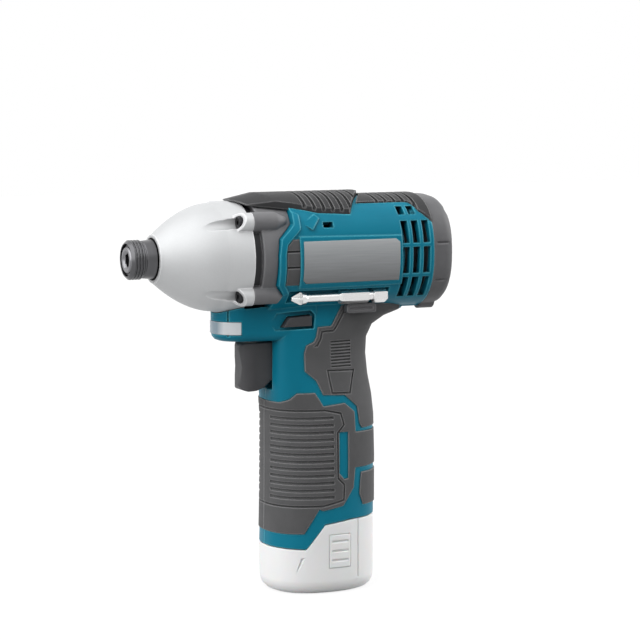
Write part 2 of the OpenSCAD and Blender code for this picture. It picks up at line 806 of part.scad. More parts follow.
// Zones of the soft overmould in side view
front_grip = [
    [-wide, belly_z - 44], [grip_x - 25.4, belly_z - 42.7], [grip_x - 22, belly_z - 41.1],
    [grip_x - 19, belly_z - 38.1], [grip_x - 10.3, belly_z - 38.1], [grip_x - 6.3, belly_z - 44.7],
    [grip_x + 5, belly_z - 43.7], [grip_x + 10.3, belly_z - 48], [grip_x + 10.7, belly_z - 58],
    [grip_x + wide, belly_z - 59], [grip_x + wide, belly_z - 75], [grip_x + 10.3, belly_z - 75.3],
    [grip_x + 9.2, belly_z - 85], [grip_x + 3.4, belly_z - 93.4], [grip_x - 7.1, belly_z - 95.3],
    [grip_x - 9, belly_z - 94.3], [grip_x - 16.2, belly_z - 106.3], [grip_x - 25, belly_z - 106.5],
    [-wide, belly_z - 105.5]
];
grip_slot = [
    [grip_x + 1.5, belly_z - 57.5], [grip_x + 6.5, belly_z - 57.5], [grip_x + 6.3, belly_z - 80.2],
    [grip_x + 4, belly_z - 80.5], [grip_x + 1.3, belly_z - 77.5]
];
rear_grip = [
    [grip_x + 5, belly_z + 3.2], [grip_x - 0.6, belly_z - 6.4], [grip_x - 7.6, belly_z - 6.7],
    [grip_x - 8.5, belly_z - 11.4], [grip_x - 9.7, belly_z - 13.7], [grip_x - 13.7, belly_z - 15.3],
    [grip_x - 14.8, belly_z - 19], [grip_x - 14.8, belly_z - 27.6], [grip_x - 9.2, belly_z - 32.3],
    [grip_x - 6.1, belly_z - 39.2], [grip_x + 5.4, belly_z - 39.9], [grip_x + 12.2, belly_z - 45.8],
    [grip_x + 13.3, belly_z - 54.1], [grip_x + 14.9, belly_z - 56.4], [grip_x + wide, belly_z - 56.4],
    [grip_x + wide, belly_z - 6], [cap_x - 11.6, belly_z - 6], [cap_x - 10, belly_z + 3.2]
];
rear_heel = [
    [grip_x + 14, belly_z - 78], [grip_x + 12.9, belly_z - 88.3], [grip_x + 15.2, belly_z - 94],
    [grip_x + wide, belly_z - 94.6], [grip_x + wide, belly_z - 77.6]
];
side_inlay = [
    [shell_x + 4, axis_z + 5.4], [shell_x + 7.2, axis_z + 9], [shell_x + 11.4, axis_z + 9.2],
    [shell_x + 11.6, axis_z - 12.6], [shell_x + 4, axis_z - 12.6]
];
label_plan = [
    [shell_x + 12.4, axis_z + 8], [cap_x - 21, axis_z + 8], [cap_x - 19, axis_z + 6.4],
    [cap_x - 19, axis_z - 12], [shell_x + 14, axis_z - 12], [shell_x + 12.4, axis_z - 10.6]
];
frame_plan = [
    [shell_x + 10.4, axis_z + 10.4], [cap_x - 17.6, axis_z + 9.6], [cap_x - 17, axis_z - 14.2],
    [shell_x + 10.8, axis_z - 14.6]
];
bracket_plan = [
    [shell_x + 9.3, axis_z + 22], [shell_x + 8.4, axis_z + 16], [shell_x + 1.2, axis_z + 9.4],
    [shell_x, axis_z + 1.8], [shell_x, axis_z - 12.5], [shell_x + 3.7, axis_z - 17.7],
    [shell_x + 6, axis_z - 16.6], [shell_x + 3.2, axis_z - 12.4], [shell_x + 3.2, axis_z + 2.4],
    [shell_x + 4.2, axis_z + 7], [shell_x + 11.6, axis_z + 13.8], [shell_x + 12.2, axis_z + 20.6]
];
facet_plan = [
    [shell_x + 13.7, axis_z + 16.2], [shell_x + 20.4, axis_z + 20.5], [shell_x + 22.3, axis_z + 18.6],
    [shell_x + 17.7, axis_z + 13.3]
];
rib_border = [
    [-wide, belly_z - 46.6], [grip_x - 6, belly_z - 47], [grip_x + 2.2, belly_z - 48.8],
    [grip_x + 3.6, belly_z - 54], [grip_x + 0.2, belly_z - 57.6], [grip_x + 0.2, belly_z - 80],
    [grip_x + 3.6, belly_z - 83.4], [grip_x + 3.2, belly_z - 90.4], [grip_x - 7, belly_z - 92.6],
    [-wide, belly_z - 92.8]
];
thumb_pad = [
    [grip_x - 2.5, belly_z - 28.2], [grip_x + 11, belly_z - 28.7], [grip_x + 8, belly_z - 38.6],
    [grip_x - 1, belly_z - 38.2]
];

// Zones of the spine in plan, left half
spine_front = [
    [collar_x - 4, 0], [collar_x - 4, -4], [collar_x + 1, -13], [shell_x, -15.4], [shell_x + 10, -17.4],
    [shell_x + 23, -20.7], [cap_x - 42.3, -21.6], [cap_x - 30.6, -4], [cap_x - 30.6, 0]
];
spine_rear = [
    [cap_x - 29.4, 0], [cap_x - 29.4, -4], [cap_x - 36.4, -15.6], [cap_x - 12, -15.5],
    [cap_x - 8.6, -16], [cap_x - 5.6, -21.3], [cap_x - 2.4, -23.6], [cap_x, -25], [cap_x, 0]
];
module spine_part(plan, rise, x0, x1, gap) {
    intersection() {
        difference() {
            barrel(0.7, rise, x0, x1);
            barrel(-0.8 - gap, -0.8 - gap, x0 - 1, x1 + 1);
        }
        upward(axis_z, axis_z + wide)
            offset(delta = gap)
                polygon(plan);
    }
}
module spine_grooves() {
    front_pitch = (shell_len - 49.1) / 7;
    for (i = [0:6])
        translate([shell_x + 16 + i * front_pitch, 0, 0])
            spine_groove(spine_rise);
    for (i = [0:4])
        translate([cap_x - 26 + i * 4.7, 0, 0])
            spine_groove(spine_rise - 1.8);
}
module spine_groove(rise) {
    difference() {
        on_axis()
            translate([0, -wide, 10])
                cube([1.5, wide * 2, wide]);
        barrel(-0.5, rise - 1, -1, 3);
    }
}
module spine_half(gap) {
    full_r = barrel_h + spine_rise + 1.4;
    difference() {
        intersection() {
            spine_part(spine_front, spine_rise, collar_x - 4, cap_x - 30.6, gap);
            turned([[collar_x - 4, 0], [collar_x - 4, case_r + 0.9], [collar_x + 16, full_r],
                [cap_x, full_r], [cap_x, 0]]);
        }
        rod(case_r + seat, collar_x - 6, collar_x + 0.1);
        rod(barrel_h - 0.1, collar_x, shell_x + 9.8);
    }
    spine_part(spine_rear, spine_rise - 1.8, cap_x - 36.4, cap_x, gap);
}
module grip_zones(gap) {
    along_y(0, wide)
        offset(delta = gap) {
            difference() {
                polygon(front_grip);
                polygon(grip_slot);
            }
            polygon(rear_grip);
            polygon(rear_heel);
        }
}
module soft_grip(gap) {
    intersection() {
        difference() {
            half_grip(soft_proud);
            whole_grip(-soft_t - gap);
        }
        grip_zones(gap);
    }
}
module grip_lines() {
    rib_end = 6;
    difference() {
        union() {
            for (i = [0:11])
                translate([-wide, -wide, belly_z - 89.5 + i * 3.5])
                    cube([wide + grip_x - 1.4, wide - rib_end, 1.3]);
            for (i = [0:8])
                translate([grip_x - 1, -wide, belly_z - 26.4 + i * 1.5])
                    cube([11, wide, 0.7]);
            along_y(0, wide) {
                outline(0.8)
                    polygon(thumb_pad);
                outline(0.8)
                    polygon(rib_border);
                intersection() {
                    outline(0.9)
                        offset(delta = -2.8)
                            polygon(rear_grip);
                    polygon([[grip_x - wide, belly_z + 3], [grip_x + 12, belly_z + 3],
                        [grip_x - 6, belly_z - 16], [grip_x - wide, belly_z - 16]]);
                }
            }
        }
        whole_grip(soft_proud - 0.5);
    }
}
module outline(width) {
    difference() {
        offset(delta = width)
            children();
        children();
    }
}
module soft_inlay(gap) {
    intersection() {
        difference() {
            half_barrel(0.3, shell_x, shell_x + 20);
            barrel(-1 - gap, -1 - gap, shell_x - 1, shell_x + 21);
        }
        along_y(0, wide)
            offset(delta = gap)
                polygon(side_inlay);
    }
}
module overmould_half() {
    difference() {
        soft_grip(0);
        grip_lines();
    }
    difference() {
        soft_inlay(0);
        for (z = [-4.5, 3])
            on_axis()
                translate([shell_x, -wide, z])
                    cube([20, wide - barrel_w + 0.5, 0.9]);
    }
    difference() {
        spine_half(0);
        spine_grooves();
    }
}

// Clamshell
module vents() {
    rows = [[-20.8, -11], [-9.2, 3.6], [5.4, 16], [18.8, 22.6]];
    for (i = [0:2], j = [0:3])
        if (i < 2 || j < 3)
            translate([cap_x - 17 + i * 5.6, -wide, axis_z + rows[j][0]])
                cube([vent_w, wide - 12, rows[j][1] - rows[j][0]]);
}
module shell_blank() {
    difference() {
        union() {
            half_barrel(0, shell_x, cap_x);
            intersection() {
                half_barrel(0.8, shell_x + 10, cap_x - 16);
                along_y(0, wide)
                    polygon(frame_plan);
            }
            intersection() {
                half_barrel(0.9, shell_x, shell_x + 13);
                along_y(0, wide)
                    polygon(bracket_plan);
            }
            intersection() {
                along_y(0, wide)
                    polygon(facet_plan);
                translate([shell_x + 13.7, -0.86 * barrel_w, axis_z + 0.589 * barrel_h])
                    rotate([52, -16, 0])
                        translate([-wide, -wide, -wide])
                            cube([wide * 2, wide * 2, wide]);
            }
        }
        translate([shell_x + 24, -wide, axis_z + 14])
            cube([5.2, wide - barrel_w + 8, 2.6]);
        along_y(-1, wide)
            polygon(shell_front(0));
    }
    difference() {
        half_grip(0);
        along_y(-1, wide)
            polygon(concat([[grip_x + wide, -wide], [-wide, -wide]], foot_line));
    }
    half_chin();
}
module shell_rooms() {
    rod(core_r, shell_x - 40, cap_x + 1);
    rod(case_r + play, shell_x - 60, collar_x + 0.5);
    rod(barrel_h, collar_x, shell_x);
    upward(0, well_top)
        polygon(tower_plan(tower_r + play));
    upward(well_top - 1, belly_z + 6)
        polygon(shifted(oval(20.5, waist_w - 4.2, 3, 0, 350, 10), grip_x - 0.5, 0));
    along_y(-trigger_w - play, trigger_w + play)
        hull()
            for (dx = [0, trigger_travel + play])
                translate([dx, 0])
                    offset(delta = play)
                        polygon(trigger_side);
    translate([shell_x - 18.8, -9.5, belly_z - 10])
        cube([21.4, 19, 16]);
    translate([shell_x - chin_reach, -5, belly_z - 8.4])
        cube([8, 10, 4.4]);
}
selector_bar = [
    [grip_x - 25.4, belly_z - 6], [grip_x - 22.2, belly_z - 1.6], [grip_x - 10.6, belly_z - 1],
    [grip_x - 10.6, belly_z - 6]
];
selector_recess = [
    [grip_x - 31, belly_z - 4], [grip_x - 27.6, belly_z + 0.5], [grip_x - 11, belly_z + 1.6],
    [grip_x - 8.8, belly_z - 0.7], [grip_x - 9.6, belly_z - 7.2], [grip_x - 28.6, belly_z - 7.6]
];
selector_sink = 3.2;
module selector_slot() {
    along_y(-wide, wide)
        offset(delta = play)
            polygon(selector_bar);
    along_y(waist_w - selector_sink, wide)
        polygon(selector_recess);
}
module screw_bosses() {
    for (s = shell_screws_at)
        translate([s[0], 0, s[1]])
            rotate([90, 0, 0])
                cylinder(r = pillar_r, h = s[2]);
    for (s = cap_screws_at)
        translate([cap_x - 9, -s[0], axis_z + s[1]])
            rotate([0, 90, 0])
                cylinder(r = screw_r + 1, h = 9);
}
module motor_cradle() {
    difference() {
        for (x = [can_x + 8, bell_x - 6])
            tube(core_r + 0.6, can_r + seat, x, x + 2);
        right_side();
    }
    for (x = [grip_x - 4, grip_x + 8])
        translate([x, -waist_w + 3, belly_z - 37])
            cube([1.6, waist_w - 3 - 8 - seat, 22]);
}
module shell_half(pilot) {
    difference() {
        union() {
            difference() {
                shell_blank();
                shell_rooms();
                selector_slot();
                vents();
                soft_grip(bond);
                soft_inlay(bond);
                spine_half(bond);
                light_lens_form(seat);
            }
            screw_bosses();
            motor_cradle();
        }
        for (s = shell_screws_at)
            translate([s[0], 1, s[1]])
                rotate([90, 0, 0])
                    cylinder(r = pilot, h = max(screw_bite + 2, s[2]));
        for (s = cap_screws_at)
            translate([cap_x - 8, -s[0], axis_z + s[1]])
                rotate([0, 90, 0])
                    cylinder(r = screw_r + 0.05, h = 9);
    }
}
module shell_left() {
    color("teal")
        difference() {
            shell_half(screw_r + 0.05);
            label_left();
            translate([bit_x - 1.5, bit_y, bit_z])
                rotate([0, 90, 0])
                    cylinder(r = bit_r + play, h = bit_len + 3);
            bit_clip_form(seat);
        }
}
module shell_right() {
    color("teal")
        mirror([0, 1, 0])
            difference() {
                shell_half(screw_r + 0.1);
                for (s = shell_screws_at)
                    translate([s[0], -s[2] + 3, s[1]])
                        rotate([90, 0, 0])
                            cylinder(r = head_r + 0.3, h = wide);
            }
}
module overmould_left() {
    color("dimgray")
        difference() {
            overmould_half();
            bit_clip_form(seat);
        }
}
module overmould_right() {
    color("dimgray")
        mirror([0, 1, 0])
            difference() {
                overmould_half();
                for (s = shell_screws_at)
                    translate([s[0], -s[2] + 3, s[1]])
                        rotate([90, 0, 0])
                            cylinder(r = head_r + 0.3, h = wide);
            }
}
module label_left() {
    color("silver")
        intersection() {
            difference() {
                half_barrel(1.1, shell_x + 12, cap_x - 18);
                barrel(0.2, 0.2, shell_x + 11, cap_x - 17);
            }
            along_y(0, wide)
                polygon(label_plan);
        }
}
module rear_cap() {
    steps = [[0, 0], [6.5, 0], [9.4, -0.9], [10.8, -2.1], [cap_len, -3.6]];
    color("dimgray")
        difference() {
            union() {
                rotate([90, 0, 90])
                    skin([for (s = steps) [for (p = oval(barrel_w + s[1], barrel_h + s[1], barrel_square))
                        [p[0], p[1] + axis_z, cap_x + s[0]]]]);
                for (s = [-1, 1])
                    translate([cap_x, s * cap_screws_at[0][0], axis_z + cap_screws_at[0][1]])
                        rotate([0, 90, 0])
                            cylinder(r = 4.2, h = cap_len - 3.5);
            }
            rod(core_r - 2, cap_x - 1, rear_x - 2.6);
            for (s = cap_screws_at, side = [-1, 1])
                translate([cap_x - 1, side * s[0], axis_z + s[1]])
                    rotate([0, 90, 0]) {
                        cylinder(r = screw_r + 0.15, h = wide);
                        translate([0, 0, 5])
                            cylinder(r = head_r + 0.3, h = wide);
                    }
            for (z = [4.6, -13.6])
                difference() {
                    on_axis()
                        translate([cap_x + 1.6, -wide, z])
                            cube([wide, wide * 2, 1]);
                    barrel(-0.7, -0.7, cap_x - 1, rear_x - 0.7);
                }
        }
}
module cap_screws() {
    color("gray")
        for (s = cap_screws_at, side = [-1, 1])
            translate([cap_x + 4, side * s[0], axis_z + s[1]])
                mirror([1, 0, 0])
                    screw_x(11);
}
module shell_screws() {
    color("gray")
        for (s = shell_screws_at)
            translate([s[0], s[2] - 3, s[1]])
                rotate([0, 0, -90])
                    screw_x(s[2] - 3 + screw_bite);
}

// Chin light
module light_lens_form(gap) {
    z0 = belly_z - 9.2 - gap;
    z1 = belly_z - 3.2 + gap;
    difference() {
        upward(z0, z1)
            polygon(concat(chin_plan(0.4), [[shell_x - chin_reach + 1, 0]]));
        upward(z0 - 1, z1 + 1)
            polygon(mirrored_x(chin_plan(-2 - gap)));
        translate([shell_x - 13.2 + gap, -wide, 0])
            cube([wide * 2, wide * 2, axis_z]);
    }
}
module light_lens() {
    color("white") {
        light_lens_form(0);
        mirror([0, 1, 0])
            light_lens_form(0);
    }
}
module light_board() {
    color("green")
        translate([shell_x - 16.6, -8, belly_z - 9.4])
            cube([1.6, 16, 7]);
    color("gold")
        translate([shell_x - 18.4, 0, belly_z - 6])
            rotate([0, 90, 0])
                cylinder(r = 2.4, h = 1.9);
}

// Trigger and switch
module trigger() {
    round = trigger_w - 0.6;
    color("gray") {
        intersection() {
            along_y(-trigger_w, trigger_w)
                offset(r = 2.2, $fn = 32)
                    offset(delta = -2.2)
                        polygon(trigger_side);
            upward(belly_z - wide, belly_z)
                polygon(concat([for (a = [180:15:270])
                        [trigger_nose + round * (1 + cos(a)), -trigger_w + round * (1 + sin(a))]],
                    [[shell_x + 14, -trigger_w], [shell_x + 14, trigger_w]],
                    [for (a = [90:15:180])
                        [trigger_nose + round * (1 + cos(a)), trigger_w - round * (1 - sin(a))]]));
        }
        translate([shell_x + 11, -2.5, belly_z - 28])
            cube([8, 5, 5]);
    }
}
module trigger_spring() {
    color("silver")
        translate([0, 0, belly_z - 25.5])
            coil_tube(shell_x + 11.6, shell_x + 19.4, 4.5, 0.45, 4, 8);
}
module switch_body() {
    color("black")
        difference() {
            translate([shell_x + 19.5, -8, belly_z - 37])
                cube([26, 16, 22.5]);
            translate([shell_x + 19, -3.1, belly_z - 28.6])
                cube([trigger_travel + 2, 6.2, 6.2]);
        }
}
module selector() {
    reach = waist_w - selector_sink + selector_travel + 0.4;
    color("black")
        along_y(-reach, reach)
            polygon(selector_bar);
}

// Stored bit
module stored_bit() {
    tip_r = 3;
    neck_r = 2.2;
    hex_at = bit_len / 2;
    color("silver")
        translate([bit_x, bit_y, bit_z])
            rotate([0, 90, 0])
                difference() {
                    union() {
                        rotate_extrude()
                            polygon([[0, 0], [0.9, 0], [tip_r, 4.4], [tip_r, 6.8], [neck_r, 8.4],
                                [neck_r, hex_at], [0, hex_at]]);
                        translate([0, 0, hex_at - 1])
                            cylinder(r1 = neck_r, r2 = bit_r, h = 1.6, $fn = 6);
                        translate([0, 0, hex_at + 0.6])
                            cylinder(r = bit_r, h = hex_at - 1.2, $fn = 6);
                        translate([0, 0, bit_len - 0.6])
                            cylinder(r1 = bit_r, r2 = bit_r - 0.5, h = 0.6, $fn = 6);
                    }
                    for (a = [0:90:270])
                        rotate(a)
                            translate([0.55, 0.55, -1])
                                cube([4, 4, 6.2]);
                    translate([0, 0, bit_len - 10.2])
                        rotate_extrude()
                            polygon([[2.3, 0.8], [5, -0.8], [5, 4], [2.3, 2.4]]);
                }
}
module bit_clip_form(gap) {
    clip_round = 1;
    along_y(-bit_y - 5.2, -bit_y - 0.8)
        offset(r = clip_round + gap)
            translate([clip_x + clip_round, bit_z - 8.3 + clip_round])
                square([clip_len - clip_round * 2, clip_h - clip_round * 2]);
}
module bit_clip() {
    color("dimgray")
        difference() {
            bit_clip_form(0);
            along_y(-bit_y - 1.4, -bit_y)
                translate([clip_x + 1.6, bit_z - 8.3 + 1.4])
                    square([clip_len - 3.2, clip_h - 2.8]);
        }
}

// Tool terminals
module terminal_block() {
    color("black")
        difference() {
            upward(well_top + 0.2, well_top + 4.4)
                polygon(shifted(oval(20.3, waist_w - 4.4, 3, 0, 350, 10), grip_x - 0.5, 0));
            for (y = [-6, 0, 6])
                translate([pack_x - 4.1, y - 0.55, well_top - 1])
                    cube([8.2, 1.1, 9]);
        }
}
module terminal_blades() {
    color("goldenrod")
        for (y = [-6, 0, 6])
            translate([pack_x - 4, y - 0.5, tower_top - 6])
                cube([8, 1, well_top + 6 - tower_top + 6]);
}

// Battery
module battery_base() {
    latch_room = palm_w + 0.6 - latch_t - latch_travel - play;
    color("gainsboro")
        difference() {
            battery_rings(0, foot_z + foot_step + 4);
            along_y(-wide, wide)
                polygon(concat([for (p = foot_line) [p[0], p[1] - 0.5]],
                    [[grip_x + wide, wide * 2], [-wide, wide * 2]]));
            upward(tower_z, wide * 2)
                polygon(tower_plan(tower_r + 0.05));
            difference() {
                along_y(-wide, wide)
                    polygon(foot_mark);
                battery_rings(-0.5, foot_z + foot_step + 5);
            }
            for (s = [-1, 1])
                translate([seam_x, s > 0 ? palm_w - 1.5 : -wide, 7])
                    cube([0.9, wide - palm_w + 1.5, wide]);
            for (s = [-1, 1])
                translate([latch_x - latch_gap, s > 0 ? latch_room : -wide, latch_z - latch_gap])
                    cube([latch_l + latch_gap * 2, wide - latch_room, latch_h + latch_gap * 2]);
        }
}
module battery_tower() {
    color("gainsboro")
        difference() {
            upward(tower_z, tower_top)
                polygon(tower_plan(tower_r));
            for (k = [0:2])
                translate([pack_x + cell_ring * cos(k * 120), cell_ring * sin(k * 120), cell_z])
                    cylinder(r = cell_r + 0.05, h = cell_len + 1);
            for (y = [-6, 0, 6])
                translate([pack_x - 4.6, y - 1, cell_z + cell_len + 3])
                    cube([9.2, 2, 20]);
        }
}
module battery_cells() {
    color("seagreen")
        for (k = [0:2])
            translate([pack_x + cell_ring * cos(k * 120), cell_ring * sin(k * 120), cell_z])
                cylinder(r = cell_r, h = cell_len);
}
module battery_contacts() {
    color("goldenrod")
        for (y = [-6, 0, 6])
            translate([pack_x - 4.5, y - 0.95, cell_z + cell_len + 3])
                cube([9, 1.9, 1.2]);
}
module latch() {
    difference() {
        intersection() {
            translate([latch_x, -wide, latch_z])
                cube([latch_l, wide, latch_h]);
            difference() {
                battery_rings(0.3, latch_z + wide);
                translate([-wide * 2, -palm_w - 0.6 + latch_t, -wide])
                    cube([wide * 4, wide * 2, wide * 4]);
            }
        }
        for (i = [0:2])
            translate([latch_x + 1.2, -palm_w - 1.8, latch_z + 3 + i * 4.6])
                cube([latch_l - 2.4, 1.8, 1]);
    }
}
module latch_left() {
    color("whitesmoke")
        latch();
}
module latch_right() {
    color("whitesmoke")
        mirror([0, 1, 0])
            latch();
}

bit_sleeve();
sleeve_spring();
retaining_ring();
anvil();
detent_balls();
anvil_bush();
front_washer();
hammer_case();
case_screws();
gear_case();
hammer();
hammer_spring();
cam_balls();
cam_spindle();
planet_pins();
planet_gear_1();
planet_gear_2();
planet_gear_3();
ring_gear();
gear_cover();
spindle_bearing();
motor_can();
motor_magnets();
motor_end_bell();
brushes();
motor_shaft();
sun_pinion();
rotor_core();
rotor_windings();
commutator();
cooling_fan();
shell_left();
shell_right();
overmould_left();
overmould_right();
label_left();
rear_cap();
cap_screws();
shell_screws();
light_lens();
light_board();
trigger();
trigger_spring();
switch_body();
selector();
stored_bit();
bit_clip();
terminal_block();
terminal_blades();
battery_base();
battery_tower();
battery_cells();
battery_contacts();
latch_left();
latch_right();
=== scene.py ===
import json
import math
import bpy
import bmesh
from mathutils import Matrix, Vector


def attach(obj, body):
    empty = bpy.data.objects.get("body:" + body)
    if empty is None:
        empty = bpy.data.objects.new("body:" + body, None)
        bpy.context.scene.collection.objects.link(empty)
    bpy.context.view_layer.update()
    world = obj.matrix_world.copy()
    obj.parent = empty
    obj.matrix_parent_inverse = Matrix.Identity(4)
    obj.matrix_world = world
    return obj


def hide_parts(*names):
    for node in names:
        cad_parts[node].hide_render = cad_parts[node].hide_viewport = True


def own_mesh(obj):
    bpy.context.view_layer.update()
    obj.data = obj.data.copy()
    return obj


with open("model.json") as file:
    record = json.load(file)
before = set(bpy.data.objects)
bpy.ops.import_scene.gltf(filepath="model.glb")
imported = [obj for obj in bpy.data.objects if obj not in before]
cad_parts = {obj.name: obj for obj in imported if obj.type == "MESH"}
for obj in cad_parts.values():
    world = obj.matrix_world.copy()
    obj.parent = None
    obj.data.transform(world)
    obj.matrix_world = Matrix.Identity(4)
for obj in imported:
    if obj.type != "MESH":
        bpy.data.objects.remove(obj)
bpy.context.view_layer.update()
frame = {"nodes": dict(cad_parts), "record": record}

cadNodes = frame["nodes"]
mm = 0.001


def linear(hexColour):  # sRGB hex to the linear colour that a socket takes
    parts = [int(hexColour[i:i + 2], 16) / 255 for i in (1, 3, 5)]
    return tuple(c / 12.92 if c <= 0.04045 else ((c + 0.055) / 1.055) ** 2.4
                 for c in parts) + (1.0,)


def addObject(name, data):  # a new object in the scene's own collection
    made = bpy.data.objects.new(name, data)
    bpy.context.scene.collection.objects.link(made)
    return made


def emptyTree(owner):  # the node tree of a material or world, with nothing in it
    owner.use_nodes = True
    owner.node_tree.nodes.clear()
    return owner.node_tree


def addNode(tree, kind, settings=None, links=None):  # a setting is a property or a socket
    made = tree.nodes.new(kind)
    for key, value in (settings or {}).items():
        if isinstance(key, str) and hasattr(made, key):
            setattr(made, key, value)
        else:
            made.inputs[key].default_value = value
    for key, source in (links or {}).items():
        tree.links.new(source, made.inputs[key])
    return made


def noise(tree, place, sizeMm, detail):  # a cloud whose patches have the given size
    return addNode(tree, "ShaderNodeTexNoise", {"Scale": 1 / (sizeMm * mm), "Detail": detail},
                   {"Vector": place}).outputs["Fac"]


def mapped(tree, value, start=(0, 1), end=(0, 1)):  # a value moved from one span to another
    spans = {"From Min": start[0], "From Max": start[1], "To Min": end[0], "To Max": end[1]}
    return addNode(tree, "ShaderNodeMapRange", spans, {"Value": value}).outputs[0]


def multiplied(tree, first, second):
    return addNode(tree, "ShaderNodeMath", {"operation": "MULTIPLY"},
                   {0: first, 1: second}).outputs[0]


def stretched(tree, place, stretch):  # a small number draws the pattern out along that axis
    return addNode(tree, "ShaderNodeMapping", {"Scale": stretch}, {"Vector": place}).outputs[0]


mixSockets = {"share": 0, "under": 6, "over": 7, "result": 2}  # of a Mix node that mixes colours


def blended(tree, under, over, share):  # a hex colour laid over another, or over a linked colour
    settings = {"data_type": "RGBA", mixSockets["over"]: linear(over)}
    links = {mixSockets["share"]: share}
    if isinstance(under, str):
        settings[mixSockets["under"]] = linear(under)
    else:
        links[mixSockets["under"]] = under
    return addNode(tree, "ShaderNodeMix", settings, links).outputs[mixSockets["result"]]


def fadeAlong(tree, place, axis, spanMm):  # 0 at the span's first place, 1 at its second
    spot = addNode(tree, "ShaderNodeSeparateXYZ", None, {"Vector": place}).outputs[axis]
    return mapped(tree, spot, start=[end * mm for end in spanMm])


octaves = {"soft": 2.0, "even": 3.0, "fine": 4.0}  # layers of noise: more of them look sharper


# Moulded plastic: a spark-eroded mould leaves a fine even grain, the flow a faint drift of tone.
def mouldedPattern(tree, place, look):
    tone = noise(tree, place, look["driftMm"], octaves["soft"])
    grain = noise(tree, place, look["grainMm"], octaves["even"])
    if "grooveShadeMm" in look:  # painted shade: the groove round the barrel is painted darker than what stands proud of it
        across = addNode(tree, "ShaderNodeMapping",  # X is dropped, so the length is the radius
                         {"Location": (0, 0, -look["axisMm"] * mm), "Scale": (0, 1, 1)},
                         {"Vector": place})
        reach = addNode(tree, "ShaderNodeVectorMath", {"operation": "LENGTH"},
                        {0: across.outputs[0]}).outputs["Value"]
        outsideGrooveShade = mapped(tree, reach, start=[radius * mm for radius in look["grooveShadeMm"]])
        tone = multiplied(tree, outsideGrooveShade, mapped(tree, tone, end=look["mottle"]))
    return tone, grain


# Overmoulded rubber: an etched mould gives it a pebbled skin, dull in the hollows.
def pebbledPattern(tree, place, look):
    tone = noise(tree, place, look["driftMm"], octaves["even"])
    pebble = addNode(tree, "ShaderNodeTexVoronoi",
                     {"feature": "SMOOTH_F1", "Scale": 1 / (look["grainMm"] * mm)},
                     {"Vector": place}).outputs["Distance"]
    if "spineMm" in look:  # darker above the given height, over the ribbed spine on top
        below = fadeAlong(tree, place, "Z", look["spineMm"])
        tone = multiplied(tree, below, mapped(tree, tone, end=look["mottle"]))
    return tone, pebble


# Turned, ground, cast or drawn metal: grain along or round the piece, and a gloss that follows it.
def metalPattern(tree, place, look):
    lay = stretched(tree, place, look["stretch"])
    tone = noise(tree, lay, look["driftMm"], octaves["soft"])
    return tone, noise(tree, lay, look["grainMm"], octaves["fine"])


# Film: the colour fades from light to dark down the plate, over a grain brushed along it.
def filmFadePattern(tree, place, look):
    grain = noise(tree, stretched(tree, place, look["stretch"]), look["grainMm"], octaves["fine"])
    fade = addNode(tree, "ShaderNodeMath", {"operation": "MULTIPLY", 1: look["fadeShare"]},
                   {0: fadeAlong(tree, place, "Z", look["fadeMm"])}).outputs[0]
    tone = addNode(tree, "ShaderNodeMath", {"operation": "MULTIPLY_ADD", 1: look["streakShare"]},
                   {0: grain, 2: fade}).outputs[0]
    return tone, grain


# Clear moulding: a bare window over the lamp at the front, frosted white toward its two ends.
def lensPattern(tree, place, look):
    grain = noise(tree, place, look["grainMm"], octaves["even"])
    away = addNode(tree, "ShaderNodeVectorMath", {"operation": "ABSOLUTE"},
                   {0: place}).outputs["Vector"]
    return fadeAlong(tree, away, "Y", look["frostMm"]), grain


masks = {  # where a mask starts and where it is full
    "edgeSamples": 6, "edgeWearHighlightSpan": (0.99, 0.86),  # cosine between the rounded and the plain normal
    "creaseSamples": 8, "paintedCreaseSpan": (0.95, 0.45),  # share of open sky over the surface
}


def makeFinish(name, look):  # pattern gives tone and grain, edges get painted highlight and wear, creases get painted shade
    mat = bpy.data.materials.new(name)
    tree = emptyTree(mat)
    skin = addNode(tree, "ShaderNodeBsdfPrincipled", look["shader"])
    addNode(tree, "ShaderNodeOutputMaterial", None, {"Surface": skin.outputs[0]})
    place = addNode(tree, "ShaderNodeTexCoord").outputs["Object"]
    tone, grain = look["pattern"](tree, place, look)

    rounded = addNode(tree, "ShaderNodeBevel", {"samples": masks["edgeSamples"],
                                                "Radius": look["edgeMm"] * mm}).outputs[0]
    plain = addNode(tree, "ShaderNodeNewGeometry").outputs["Normal"]
    lean = addNode(tree, "ShaderNodeVectorMath", {"operation": "DOT_PRODUCT"},
                   {0: rounded, 1: plain}).outputs["Value"]
    # painted highlight with wear: edges turn lighter where the rounded normal leans off the plain
    # one
    edgeWearHighlightShare = mapped(tree, lean, start=masks["edgeWearHighlightSpan"], end=(0, look["edgeWearHighlightShare"]))

    colour = blended(tree, look["dark"], look["light"], tone)
    colour = blended(tree, colour, look["edgeWearHighlight"], edgeWearHighlightShare)
    if "paintedCreaseShade" in look:  # painted shade: creases of the piece's own shape are darkened where little open sky reaches them
        sky = addNode(tree, "ShaderNodeAmbientOcclusion",
                      {"samples": masks["creaseSamples"], "only_local": True,
                       "Distance": look["creaseMm"] * mm}).outputs["AO"]
        creaseShade = mapped(tree, sky, start=masks["paintedCreaseSpan"], end=(0, look["paintedCreaseShade"]))
        colour = blended(tree, colour, look["paintedCreaseTone"], creaseShade)
    tree.links.new(colour, skin.inputs["Base Color"])

    tree.links.new(mapped(tree, grain, end=look["rough"]), skin.inputs["Roughness"])
    relief = addNode(tree, "ShaderNodeBump",
                     {"Strength": look["relief"], "Distance": look["reliefMm"] * mm},
                     {"Height": grain, "Normal": rounded})
    tree.links.new(relief.outputs[0], skin.inputs["Normal"])
    return mat


plastic = {"IOR": 1.5, "Metallic": 0.0, "Specular IOR Level": 0.25}
rubber = {"IOR": 1.5, "Metallic": 0.0, "Specular IOR Level": 0.07}
metal = {"Metallic": 1.0}

